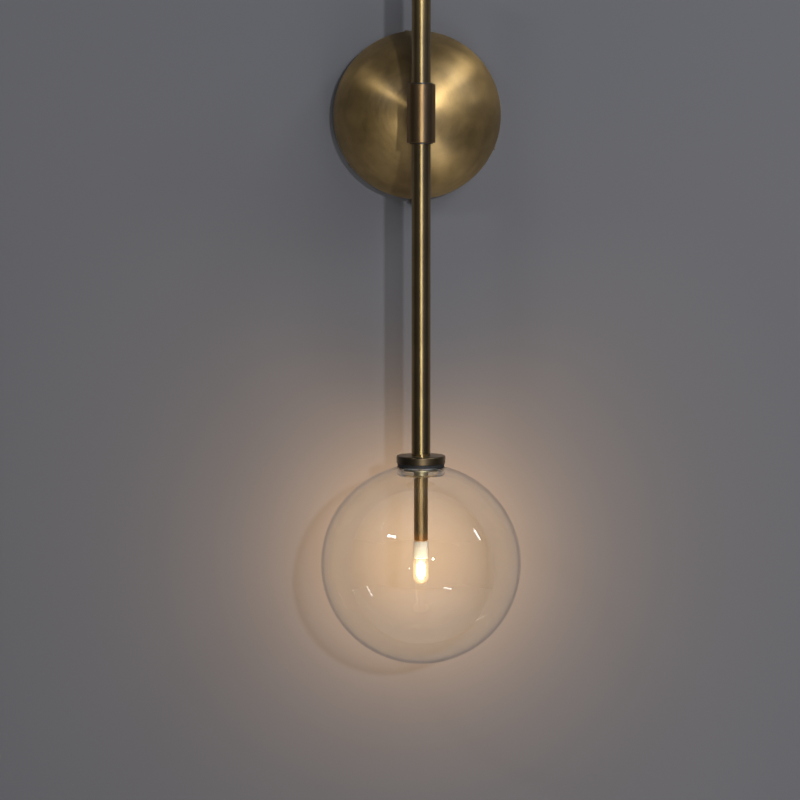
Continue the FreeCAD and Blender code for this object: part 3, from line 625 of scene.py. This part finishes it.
def wall_paint(tree):
    """Matt grey paint; from behind, the wall isn't there, so that the lamp's back can be seen."""
    paint = add(tree, "ShaderNodeBsdfDiffuse", {"Color": "#656567"})
    gone = add(tree, "ShaderNodeBsdfTransparent")
    back = add(tree, "ShaderNodeNewGeometry").outputs["Backfacing"]
    return add(tree, "ShaderNodeMixShader", {0: back, 1: paint, 2: gone})


def floor_paint(tree):
    """Matt, pale floor paint."""
    return add(tree, "ShaderNodeBsdfDiffuse", {"Color": "#D8D7D4"})


# The wall stands just behind the bracket, and the floor far below the lamp
floor_z = -1.9
half_wide = 4.0
wall_y = 0.6 * MM
wall = sheet_piece("wall", [
    (-half_wide, wall_y, floor_z), (half_wide, wall_y, floor_z),
    (half_wide, wall_y, half_wide), (-half_wide, wall_y, half_wide),
], wall_paint)
sheet_piece("floor", [
    (-half_wide, -half_wide, floor_z), (half_wide, -half_wide, floor_z),
    (half_wide, half_wide, floor_z), (-half_wide, half_wide, floor_z),
], floor_paint)


def aim(thing, place, target):
    """Puts a lamp or camera at place, looking at target."""
    thing.location = place
    thing.rotation_euler = (Vector(target) - Vector(place)).to_track_quat("-Z", "Y").to_euler()


def lamp(name, kind, place, target, watts, **settings):
    """Lamp of a kind at place, aimed at target. The camera doesn't see it."""
    data = bpy.data.lights.new(name, kind)
    data.energy = watts
    for key, value in settings.items():
        setattr(data, key, value)
    made = bpy.data.objects.new(name, data)
    made.visible_camera = False
    bpy.context.scene.collection.objects.link(made)
    aim(made, place, target)
    return made


# The lamps are aimed at a point inside the dome, 50 mm out from the wall
dome_middle = Vector((0, -50 * MM, 0))
daylight = colour("#F4F7FF")[:3]


def studio_lamp(name, tilt, turn, distance, wide, high, light, shape="ELLIPSE"):
    """Lamp aimed at the dome, wide by high in metres: tilt degrees from the wall's normal towards turn
    degrees round it (0 is +X and 90 is up). light is what it gives at the dome, where pi in all shows white
    as white: an area lamp of P watts gives P / (pi distance^2), and a wide one a little less."""
    out, side = math.radians(tilt), math.radians(turn)
    away = Vector((math.sin(out) * math.cos(side), -math.cos(out), math.sin(out) * math.sin(side)))
    watts = light * math.pi * (distance ** 2 + wide * high / 4)
    return lamp(name, "AREA", dome_middle + distance * away, dome_middle, watts,
                shape=shape, size=wide, size_y=high, color=daylight)


studio_lamp("key", tilt=14.0, turn=34, distance=3.86, wide=0.13, high=0.13, light=1.2)
wide_lamps = [
    studio_lamp("front", tilt=5.4, turn=299, distance=3.6, wide=0.9, high=1.6, light=0.5,
                shape="RECTANGLE"),
    studio_lamp("upper_right", tilt=46, turn=46, distance=2.2, wide=1.2, high=1.2, light=0.62),
    studio_lamp("grazing_right", tilt=70, turn=43, distance=2.2, wide=0.6, high=0.6, light=0.75),
    studio_lamp("lower_right", tilt=50, turn=300, distance=2.0, wide=0.8, high=0.8, light=0.5),
]
studio_lamp("right_strip", tilt=76, turn=20, distance=2.2, wide=0.05, high=0.5, light=0.15,
            shape="RECTANGLE")
studio_lamp("left_strip", tilt=48, turn=143, distance=2.2, wide=0.4, high=0.07, light=0.42,
            shape="RECTANGLE")


def linked(name, pieces, state):
    """Collection for light linking. With INCLUDE its pieces are the only ones linked, and with EXCLUDE the
    only ones not linked."""
    made = bpy.data.collections.new(name)
    for piece in pieces:
        made.objects.link(piece)
    for link in made.collection_objects:
        link.light_linking.link_state = state
    return made


# The wide lamps aren't mirrored in the glass, where they would stand as round windows
for wide_lamp in wide_lamps:
    wide_lamp.light_linking.receiver_collection = linked("not_in_glass", [globe_glass], "EXCLUDE")

# The rear lamps light the inside of the wall unit, and shine through the wall, which isn't there from behind.
# The backplate has its own, straight behind, so that its skirt shows no bright edge from in front, and the
# screws in the skirt have none, as they would show as white dots.
rear_watts = 22.0
rear_size = 0.15
backplate = nodes["backplate"]
held = [nodes[name] for name in frame["record"]["behaviour"]["bodies"]["wall_unit"]
        if name not in ("backplate", "canopy_set_screws")]
for name, place, pieces in [("rear", (0.42, 2.2, 0.42), held), ("rear_plate", (0, 2.2, 0), [backplate])]:
    behind = lamp(name, "AREA", place, dome_middle, rear_watts, shape="RECTANGLE", size=rear_size,
                  size_y=rear_size)
    behind.light_linking.receiver_collection = linked(name + "_lights", pieces, "INCLUDE")
    behind.light_linking.blocker_collection = linked(name + "_passes", [wall], "EXCLUDE")

# The core's own light, which moves with the bulb
bulb_watts = 2.7
glow = lamp("bulb_light", "POINT", (0, -standoff, core_middle), dome_middle, bulb_watts,
            shadow_soft_size=core_r, color=colour("#FFCD96")[:3])
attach(glow, "bulb")

# Even, nearly neutral light of the room
room_light = (0.038, 0.037, 0.036, 1)
world = bpy.data.worlds.new("room")
bpy.context.scene.world = world
world.use_nodes = True
world.node_tree.nodes["Background"].inputs["Color"].default_value = room_light
world.node_tree.nodes["Background"].inputs["Strength"].default_value = 1.0

# Camera at the photograph's viewing angle: its sensor and lens are in millimetres, its places in metres
camera_place = (-0.103, -2.524, -0.038)
camera_target = (-0.0188, -0.100, -0.2551)
camera_data = bpy.data.cameras.new("camera")
camera = bpy.data.objects.new("camera", camera_data)
bpy.context.scene.collection.objects.link(camera)
camera_data.sensor_width = 36
camera_data.lens = 122.4
aim(camera, camera_place, camera_target)
bpy.context.scene.camera = camera
bpy.context.scene.view_settings.view_transform = "Standard"
